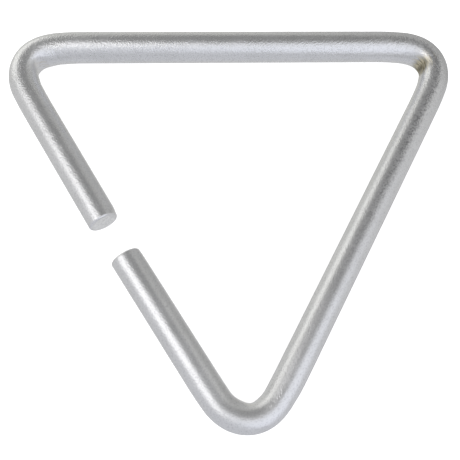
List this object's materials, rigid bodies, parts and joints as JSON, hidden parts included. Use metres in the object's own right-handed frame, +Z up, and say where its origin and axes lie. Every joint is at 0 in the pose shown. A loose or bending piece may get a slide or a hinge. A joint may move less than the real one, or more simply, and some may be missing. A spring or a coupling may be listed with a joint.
{
  "type": "open bar triangle",
  "caption": "Open equilateral triangle bent from one round steel bar, with three rounded corners and a gap between its cut ends in the middle of one side.",
  "frame": {"origin": "middle of the triangle's footprint, on the surface that it lies on", "axes": "+X along the closed top side, away from the open side; +Y from the apex towards the closed top side; +Z up, out of the flat triangle"},
  "size_m": [0.1502, 0.1345, 0.01],
  "materials": {
    "satin_steel": "fine-grained satin bright plating on steel bar, light brown stain inside one bend"
  },
  "bodies": {
    "root": {"bent_bar": "satin_steel"}
  },
  "joints": []
}
